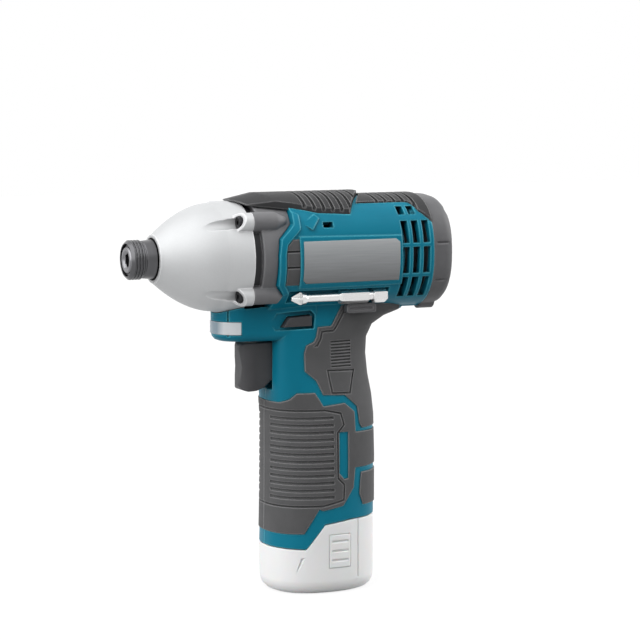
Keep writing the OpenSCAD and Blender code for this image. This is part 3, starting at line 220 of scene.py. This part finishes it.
looks = {
    # ABS from a fine spark-eroded mould: deep teal, satin, edges lighter with painted highlight and
    # wear, creases with painted shade
    "mouldedTealAbs": {
        "pattern": mouldedPattern, "shader": {**plastic, "Specular IOR Level": 0.12},
        "dark": "#066B83", "light": "#0A778F", "edgeWearHighlight": "#55B5C7", "edgeWearHighlightShare": 0.9, "edgeMm": 1.2,
        "driftMm": 18, "grainMm": 0.7, "rough": (0.34, 0.44), "relief": 0.1, "reliefMm": 0.05,
        "paintedCreaseShade": 0.7, "creaseMm": 3, "paintedCreaseTone": "#02303C"},
    # thermoplastic rubber moulded over the shell: dull dark grey, pebbles coarser than real to
    # show, creases with painted shade
    "overmouldedTpe": {
        "pattern": pebbledPattern, "shader": rubber,
        "dark": "#3C3C3D", "light": "#606061", "edgeWearHighlight": "#9A9A9B", "edgeWearHighlightShare": 0.85, "edgeMm": 1.1,
        "spineMm": (182, 179), "mottle": (0.5, 0.9),
        "driftMm": 11, "grainMm": 0.9, "rough": (0.48, 0.66), "relief": 0.22, "reliefMm": 0.1,
        "paintedCreaseShade": 0.85, "creaseMm": 2.5, "paintedCreaseTone": "#161617"},
    # glass-filled nylon: dull, with a faint mottle of fibres
    "mouldedGlassNylon": {
        "pattern": mouldedPattern, "shader": plastic,
        "dark": "#565658", "light": "#636365", "edgeWearHighlight": "#8E8E90", "edgeWearHighlightShare": 0.7, "edgeMm": 1.1,
        "driftMm": 5, "grainMm": 0.8, "rough": (0.44, 0.58), "relief": 0.16, "reliefMm": 0.06},
    # the same nylon with less pigment, for the gear case: mid grey, with painted shade near black
    # down in its groove
    "mouldedGreyNylon": {
        "pattern": mouldedPattern, "shader": plastic,
        "dark": "#2E2E30", "light": "#727274", "edgeWearHighlight": "#9C9C9E", "edgeWearHighlightShare": 0.7, "edgeMm": 1.1,
        "axisMm": 164, "grooveShadeMm": (25.1, 26.4), "mottle": (0.8, 1.0),
        "driftMm": 5, "grainMm": 0.8, "rough": (0.44, 0.58), "relief": 0.16, "reliefMm": 0.06},
    # acetal of the trigger and selector: smoother than the nylon, edges lighter with painted
    # highlight and wear
    "mouldedAcetal": {
        "pattern": mouldedPattern, "shader": plastic,
        "dark": "#3C3C3E", "light": "#464648", "edgeWearHighlight": "#666668", "edgeWearHighlightShare": 0.5, "edgeMm": 1.2,
        "driftMm": 8, "grainMm": 0.7, "rough": (0.38, 0.5), "relief": 0.12, "reliefMm": 0.05},
    # nylon full of black pigment, for pieces inside: near black, with a low satin sheen
    "mouldedBlackNylon": {
        "pattern": mouldedPattern, "shader": plastic,
        "dark": "#1F1F21", "light": "#29292B", "edgeWearHighlight": "#4C4C4E", "edgeWearHighlightShare": 0.5, "edgeMm": 0.4,
        "driftMm": 6, "grainMm": 0.7, "rough": (0.38, 0.52), "relief": 0.15, "reliefMm": 0.05},
    # pale polycarbonate blend of the battery: milky, so a little light goes into it
    "mouldedPaleBlend": {
        "pattern": mouldedPattern,
        "shader": {**plastic, "Subsurface Weight": 0.12, "Subsurface Scale": 0.002},
        "dark": "#E9E9E9", "light": "#EFEFEF", "edgeWearHighlight": "#F4F4F4", "edgeWearHighlightShare": 0.5, "edgeMm": 0.8,
        "driftMm": 16, "grainMm": 0.8, "rough": (0.4, 0.5), "relief": 0.08, "reliefMm": 0.05},
    # nylon without pigment, for the fan: warm ivory, waxy and dull
    "mouldedIvoryNylon": {
        "pattern": mouldedPattern, "shader": plastic,
        "dark": "#CFC8B0", "light": "#DCD6C2", "edgeWearHighlight": "#E8E4D6", "edgeWearHighlightShare": 0.4, "edgeMm": 0.3,
        "driftMm": 6, "grainMm": 0.6, "rough": (0.45, 0.6), "relief": 0.15, "reliefMm": 0.05},
    # nitrile rubber, moulded: black and dull
    "mouldedNitrile": {
        "pattern": pebbledPattern, "shader": rubber,
        "dark": "#151516", "light": "#1F1F20", "edgeWearHighlight": "#343435", "edgeWearHighlightShare": 0.4, "edgeMm": 0.3,
        "driftMm": 3, "grainMm": 0.5, "rough": (0.6, 0.8), "relief": 0.3, "reliefMm": 0.06},
    # glass-epoxy board with green solder mask: a fine unevenness, like the weave under the mask
    "laminatedGlassEpoxy": {
        "pattern": mouldedPattern, "shader": plastic,
        "dark": "#1B482B", "light": "#245A3A", "edgeWearHighlight": "#B7A46A", "edgeWearHighlightShare": 0.4, "edgeMm": 0.15,
        "driftMm": 1.2, "grainMm": 0.4, "rough": (0.28, 0.42), "relief": 0.12, "reliefMm": 0.03},
    # hard ferrite, pressed and sintered: charcoal with tiny pits
    "sinteredFerrite": {
        "pattern": pebbledPattern, "shader": plastic,
        "dark": "#1C1C1E", "light": "#29292B", "edgeWearHighlight": "#454548", "edgeWearHighlightShare": 0.5, "edgeMm": 0.3,
        "driftMm": 2, "grainMm": 0.4, "rough": (0.5, 0.7), "relief": 0.3, "reliefMm": 0.05},
    # heat-shrunk PVC on the cells: thin glossy green film
    "shrunkPvcFilm": {
        "pattern": mouldedPattern, "shader": plastic,
        "dark": "#1C684B", "light": "#227857", "edgeWearHighlight": "#3F9C7B", "edgeWearHighlightShare": 0.4, "edgeMm": 0.5,
        "driftMm": 12, "grainMm": 3, "rough": (0.22, 0.32), "relief": 0.1, "reliefMm": 0.05},
    # die-cast aluminium, bead blasted: even satin silver with the blast's fine pits
    "beadBlastedAluminium": {
        "pattern": metalPattern, "shader": metal, "stretch": (1, 1, 1),
        "dark": "#B0B1B2", "light": "#B8B9BA", "edgeWearHighlight": "#DEDEDF", "edgeWearHighlightShare": 0.7, "edgeMm": 1.2,
        "driftMm": 14, "grainMm": 0.7, "rough": (0.64, 0.72), "relief": 0.1, "reliefMm": 0.04},
    # turned steel, black oxide: lathe rings round the axis, edges lighter with bare metal and
    # painted highlight
    "blackOxideSteel": {
        "pattern": metalPattern, "shader": metal, "stretch": (1, 0.05, 0.05),
        "dark": "#4C4C4E", "light": "#5E5E60", "edgeWearHighlight": "#A9A9AB", "edgeWearHighlightShare": 0.7, "edgeMm": 0.35,
        "driftMm": 1.5, "grainMm": 0.5, "rough": (0.26, 0.38), "relief": 0.15, "reliefMm": 0.03},
    # tool steel, ground and nickel plated: bright, with lines along the piece
    "groundToolSteel": {
        "pattern": metalPattern, "shader": metal, "stretch": (0.05, 1, 1),
        "dark": "#D0D0D0", "light": "#DEDEDD", "edgeWearHighlight": "#FFFFFF", "edgeWearHighlightShare": 0.8, "edgeMm": 0.25,
        "driftMm": 2, "grainMm": 0.5, "rough": (0.22, 0.32), "relief": 0.08, "reliefMm": 0.03},
    # powder-metal gear steel: grey, with the press's fine pores
    "sinteredGearSteel": {
        "pattern": metalPattern, "shader": metal, "stretch": (1, 1, 1),
        "dark": "#7C7C80", "light": "#939397", "edgeWearHighlight": "#BFBFC2", "edgeWearHighlightShare": 0.6, "edgeMm": 0.2,
        "driftMm": 3, "grainMm": 0.5, "rough": (0.34, 0.46), "relief": 0.2, "reliefMm": 0.03},
    # zinc-plated steel, bright-chromate: cool grey with a soft cloud
    "zincPlatedSteel": {
        "pattern": metalPattern, "shader": metal, "stretch": (1, 1, 1),
        "dark": "#9A9CA2", "light": "#B2B4BA", "edgeWearHighlight": "#D2D3D6", "edgeWearHighlightShare": 0.6, "edgeMm": 0.2,
        "driftMm": 3, "grainMm": 0.8, "rough": (0.25, 0.4), "relief": 0.1, "reliefMm": 0.03},
    # oil-filled bronze, sintered: warm brown, with fine pores that break the shine
    "sinteredBronze": {
        "pattern": metalPattern, "shader": metal, "stretch": (1, 1, 1),
        "dark": "#8A6234", "light": "#A87C46", "edgeWearHighlight": "#CDA56C", "edgeWearHighlightShare": 0.6, "edgeMm": 0.2,
        "driftMm": 2, "grainMm": 0.5, "rough": (0.35, 0.5), "relief": 0.2, "reliefMm": 0.03},
    # copper wire with its enamel: the turns run along the rotor
    "enamelledCopper": {
        "pattern": metalPattern, "shader": metal, "stretch": (0.1, 1, 1),
        "dark": "#9A4E26", "light": "#B8642F", "edgeWearHighlight": "#D88A50", "edgeWearHighlightShare": 0.5, "edgeMm": 0.3,
        "driftMm": 0.9, "grainMm": 0.9, "rough": (0.2, 0.35), "relief": 0.5, "reliefMm": 0.2},
    # brass strip, stamped: rolled lines along the blade
    "stampedBrass": {
        "pattern": metalPattern, "shader": metal, "stretch": (1, 1, 0.1),
        "dark": "#B08A3C", "light": "#C9A450", "edgeWearHighlight": "#E2C67C", "edgeWearHighlightShare": 0.5, "edgeMm": 0.15,
        "driftMm": 2, "grainMm": 0.5, "rough": (0.22, 0.34), "relief": 0.1, "reliefMm": 0.03},
    # polyester film of the bare nameplate: silver grey, darker toward the lower edge
    "printedPolyesterFilm": {
        "pattern": filmFadePattern, "shader": {**plastic, "Metallic": 0.25},
        "stretch": (0.03, 1, 1), "fadeMm": (150, 173), "fadeShare": 0.8, "streakShare": 0.3,
        "dark": "#5A5B5C", "light": "#A8ABAD", "edgeWearHighlight": "#C4C6C7", "edgeWearHighlightShare": 0.5, "edgeMm": 0.3,
        "grainMm": 0.5, "rough": (0.34, 0.46), "relief": 0.06, "reliefMm": 0.02},
    # polycarbonate lens from a polished mould: cool grey at the window, milky at its ends
    "polishedPolycarbonate": {
        "pattern": lensPattern, "shader": {"IOR": 1.58, "Transmission Weight": 0.2},
        "dark": "#93A8B5", "light": "#E6ECEF", "edgeWearHighlight": "#FFFFFF", "edgeWearHighlightShare": 0.7, "edgeMm": 0.6,
        "frostMm": (4.5, 8), "grainMm": 1.4, "rough": (0.06, 0.2), "relief": 0.15, "reliefMm": 0.1},
    # screw steel with a manganese phosphate coat: near black and dull
    "phosphatedScrewSteel": {
        "pattern": metalPattern, "shader": metal, "stretch": (1, 1, 1),
        "dark": "#2C2C2E", "light": "#38383A", "edgeWearHighlight": "#77777A", "edgeWearHighlightShare": 0.7, "edgeMm": 0.2,
        "driftMm": 1.5, "grainMm": 0.4, "rough": (0.34, 0.48), "relief": 0.15, "reliefMm": 0.02},
    # hardened steel of the anvil, ground on its end: mid grey with a fine lay
    "hardenedAlloySteel": {
        "pattern": metalPattern, "shader": metal, "stretch": (1, 0.3, 0.3),
        "dark": "#6E6E71", "light": "#848487", "edgeWearHighlight": "#C9C9CB", "edgeWearHighlightShare": 0.8, "edgeMm": 0.3,
        "driftMm": 2, "grainMm": 0.5, "rough": (0.24, 0.36), "relief": 0.1, "reliefMm": 0.03},
}
finishes = {name: makeFinish(name, look) for name, look in looks.items()}
print("materials made:", len(finishes))

slotFinish = {
    "teal_abs": "mouldedTealAbs", "soft_grey": "overmouldedTpe", "dark_nylon": "mouldedGlassNylon",
    "cast_alloy": "beadBlastedAluminium", "black_steel": "blackOxideSteel",
    "bright_steel": "groundToolSteel", "gear_steel": "sinteredGearSteel",
    "zinc_screw": "zincPlatedSteel", "bronze": "sinteredBronze", "black_rubber": "mouldedNitrile",
    "label_grey": "printedPolyesterFilm", "clear_lens": "polishedPolycarbonate",
    "board_green": "laminatedGlassEpoxy", "trigger_grey": "mouldedAcetal",
    "black_plastic": "mouldedBlackNylon", "ivory_plastic": "mouldedIvoryNylon",
    "magnet_black": "sinteredFerrite", "copper": "enamelledCopper",
    "contact_brass": "stampedBrass", "pale_plastic": "mouldedPaleBlend",
    "cell_sleeve": "shrunkPvcFilm",
}
nodeSlot = {part["node"]: part["material_slot"] for part in frame["record"]["subparts"]}
nodeFinish = {  # pieces whose finish differs from the rest of their slot
    "anvil": "hardenedAlloySteel", "motor_end_bell": "mouldedBlackNylon",
    "motor_can": "blackOxideSteel", "gear_case": "mouldedGreyNylon",
    "case_screws": "phosphatedScrewSteel", "selector": "mouldedAcetal",
}

# shading that is smooth over gentle bends and crisp over sharp ones
smoothing = {"creaseDegrees": 30}
smoothTree = bpy.data.node_groups.new("smoothOverGentleBends", "GeometryNodeTree")
for way in ("INPUT", "OUTPUT"):
    smoothTree.interface.new_socket("Geometry", in_out=way, socket_type="NodeSocketGeometry")
meshIn = addNode(smoothTree, "NodeGroupInput")
bend = addNode(smoothTree, "GeometryNodeInputMeshEdgeAngle")
gentle = addNode(smoothTree, "FunctionNodeCompare",
                 {"operation": "LESS_THAN", "B": math.radians(smoothing["creaseDegrees"])},
                 {"A": bend.outputs[0]})
allFaces = addNode(smoothTree, "GeometryNodeSetShadeSmooth", {"domain": "FACE"},
                   {"Geometry": meshIn.outputs[0]})
crisp = addNode(smoothTree, "GeometryNodeSetShadeSmooth", {"domain": "EDGE"},
                {"Geometry": allFaces.outputs[0], "Shade Smooth": gentle.outputs[0]})
addNode(smoothTree, "NodeGroupOutput", None, {"Geometry": crisp.outputs[0]})

edgeRounds = {  # mm of real rounding on the pieces that show
    "shell_left": 0.1, "shell_right": 0.1, "overmould_left": 0.1, "overmould_right": 0.1,
    "gear_case": 0.3, "rear_cap": 0.2, "battery_base": 0.1, "bit_sleeve": 0.12,
    "trigger": 0.4, "selector": 0.25, "bit_clip": 0.15, "label_left": 0.12,
    "latch_left": 0.2, "latch_right": 0.2, "light_lens": 0.2, "anvil": 0.1, "case_screws": 0.1,
    "cap_screws": 0.1, "shell_screws": 0.1, "stored_bit": 0.08, "retaining_ring": 0.08,
}
rounding = {
    "weldMm": 0.02, "flatDegrees": 0.6, "segments": 3, "sharpDegrees": 32,
    "keepTriangles": ("overmould", "battery"),  # long joined faces would tear on these
}
for nodeName, cadNode in cadNodes.items():
    cadNode.data.materials.clear()
    finishName = nodeFinish.get(nodeName, slotFinish[nodeSlot[nodeName]])
    cadNode.data.materials.append(finishes[finishName])
    weld = cadNode.modifiers.new("weld", "WELD")
    weld.merge_threshold = rounding["weldMm"] * mm
    if nodeName in edgeRounds:
        if not nodeName.startswith(rounding["keepTriangles"]):
            flat = cadNode.modifiers.new("flatFaces", "DECIMATE")
            flat.decimate_type = "DISSOLVE"
            flat.angle_limit = math.radians(rounding["flatDegrees"])
        edge = cadNode.modifiers.new("edgeRound", "BEVEL")
        edge.width = edgeRounds[nodeName] * mm
        edge.segments = rounding["segments"]
        edge.limit_method = "ANGLE"
        edge.angle_limit = math.radians(rounding["sharpDegrees"])
        edge.use_clamp_overlap = False
    cadNode.modifiers.new("smoothing", "NODES").node_group = smoothTree
    if nodeName in edgeRounds:
        cadNode.modifiers.new("evenNormals", "WEIGHTED_NORMAL").keep_sharp = True
print("CAD nodes dressed:", len(cadNodes), "with rounded edges:", len(edgeRounds))

# coil springs: merged copies of the CAD coils that ride with their bodies; the table also gives
# each one's joint and the end that stays put
springs = {  # fixedEnd is 0 for the end nearer the nose, 1 for the other
    "hammer_spring": {"piece": "hammerSpringCoil", "joint": "hammer_slide", "fixedEnd": 1},
    "sleeve_spring": {"piece": "sleeveSpringCoil", "joint": "sleeve_slide", "fixedEnd": 0},
    "trigger_spring": {"piece": "triggerSpringCoil", "joint": "trigger_slide", "fixedEnd": 1},
}
coilMergeMm = 0.01
behaviour = frame["record"]["behaviour"]
nodeBody = {node: body for body, nodes in behaviour["bodies"].items() for node in nodes}
for nodeName, springSet in springs.items():
    coilMesh = bpy.data.meshes.new(springSet["piece"])
    bm = bmesh.new()
    bm.from_mesh(cadNodes[nodeName].data)
    bmesh.ops.remove_doubles(bm, verts=bm.verts, dist=coilMergeMm * mm)
    bm.to_mesh(coilMesh)
    bm.free()
    coilMesh.materials.append(finishes[slotFinish[nodeSlot[nodeName]]])
    coil = addObject(springSet["piece"], coilMesh)
    coil.modifiers.new("smoothing", "NODES").node_group = smoothTree
    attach(coil, nodeBody[nodeName])
    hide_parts(nodeName)
    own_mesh(coil)

# studio: pale floor that looks white but keeps the shadow, white surround, four soft lamps
studio = {
    "floorSize": 6.0, "floorCells": 4, "floorColour": "#969696", "floorGlow": 1.7,
    "glowShare": 0.5, "surround": "#FFFFFF", "surroundSeen": 1.0, "worldLevel": 0.14,
}
floorMesh = bpy.data.meshes.new("studioFloor")
bm = bmesh.new()
bmesh.ops.create_grid(bm, x_segments=studio["floorCells"], y_segments=studio["floorCells"],
                      size=studio["floorSize"] / 2)
bm.to_mesh(floorMesh)
bm.free()
floor = addObject("studioFloor", floorMesh)


def seenRays(tree):  # 1 for rays from the camera, from a reflection or through glass
    path = addNode(tree, "ShaderNodeLightPath")
    first = addNode(tree, "ShaderNodeMath", {"operation": "MAXIMUM"},
                    {0: path.outputs["Is Camera Ray"], 1: path.outputs["Is Glossy Ray"]})
    return addNode(tree, "ShaderNodeMath", {"operation": "MAXIMUM"},
                   {0: first.outputs[0], 1: path.outputs["Is Transmission Ray"]}).outputs[0]


# painted floor: matte grey that takes the shadow, with a white glow that only seen rays get
floorMat = bpy.data.materials.new("paintedFloor")
tree = emptyTree(floorMat)
matte = addNode(tree, "ShaderNodeBsdfDiffuse", {"Color": linear(studio["floorColour"])})
glow = addNode(tree, "ShaderNodeEmission", {"Strength": studio["floorGlow"]})
share = addNode(tree, "ShaderNodeMath", {"operation": "MULTIPLY", 1: studio["glowShare"]},
                {0: seenRays(tree)})
both = addNode(tree, "ShaderNodeMixShader", None,
               {0: share.outputs[0], 1: matte.outputs[0], 2: glow.outputs[0]})
addNode(tree, "ShaderNodeOutputMaterial", None, {"Surface": both.outputs[0]})
floorMesh.materials.append(floorMat)

world = bpy.data.worlds.new("studioSurround")
bpy.context.scene.world = world
tree = emptyTree(world)
dim, white = [addNode(tree, "ShaderNodeBackground",
                      {"Color": linear(studio["surround"]), "Strength": level})
              for level in (studio["worldLevel"], studio["surroundSeen"])]
both = addNode(tree, "ShaderNodeMixShader", None,
               {0: seenRays(tree), 1: dim.outputs[0], 2: white.outputs[0]})
addNode(tree, "ShaderNodeOutputWorld", None, {"Surface": both.outputs[0]})

lamps = {  # azimuth from the photographed side, elevation and spread in degrees
    "keySun": {"level": 2.95, "azimuth": -82, "elevation": 40, "spread": 80},
    "topSun": {"level": 1.0, "azimuth": -10, "elevation": 70, "spread": 90},
    "sideSun": {"level": 2.4, "azimuth": 82, "elevation": 26, "spread": 50},
    "backSun": {"level": 0.7, "azimuth": 180, "elevation": 25, "spread": 90},
}


def toward(azimuth, elevation):  # unit vector from the object to a lamp or the camera
    a, e = math.radians(azimuth), math.radians(elevation)
    return Vector((math.sin(a) * math.cos(e), -math.cos(a) * math.cos(e), math.sin(e)))


for lampName, lampSet in lamps.items():
    lamp = bpy.data.lights.new(lampName, "SUN")
    lamp.energy = lampSet["level"]
    lamp.angle = math.radians(lampSet["spread"])
    aimed = toward(lampSet["azimuth"], lampSet["elevation"])
    addObject(lampName, lamp).rotation_euler = aimed.to_track_quat("Z", "Y").to_euler()

# camera at the photograph's angle
shot = {
    "azimuth": -25.0, "elevation": 6.5, "distance": 1.17, "targetMm": (20.4, 0, 131),
    "lens": 135.0, "sensor": 36.0, "clip": 0.05,
}
camera = bpy.data.cameras.new("shotCamera")
camera.lens = shot["lens"]
camera.sensor_width = shot["sensor"]
camera.clip_start = shot["clip"]
cameraObject = addObject("shotCamera", camera)
target = Vector([part * mm for part in shot["targetMm"]])
back = toward(shot["azimuth"], shot["elevation"])
cameraObject.location = target + back * shot["distance"]
cameraObject.rotation_euler = back.to_track_quat("Z", "Y").to_euler()
bpy.context.scene.camera = cameraObject
bpy.context.scene.view_settings.view_transform = "Standard"
print("studio and camera set")
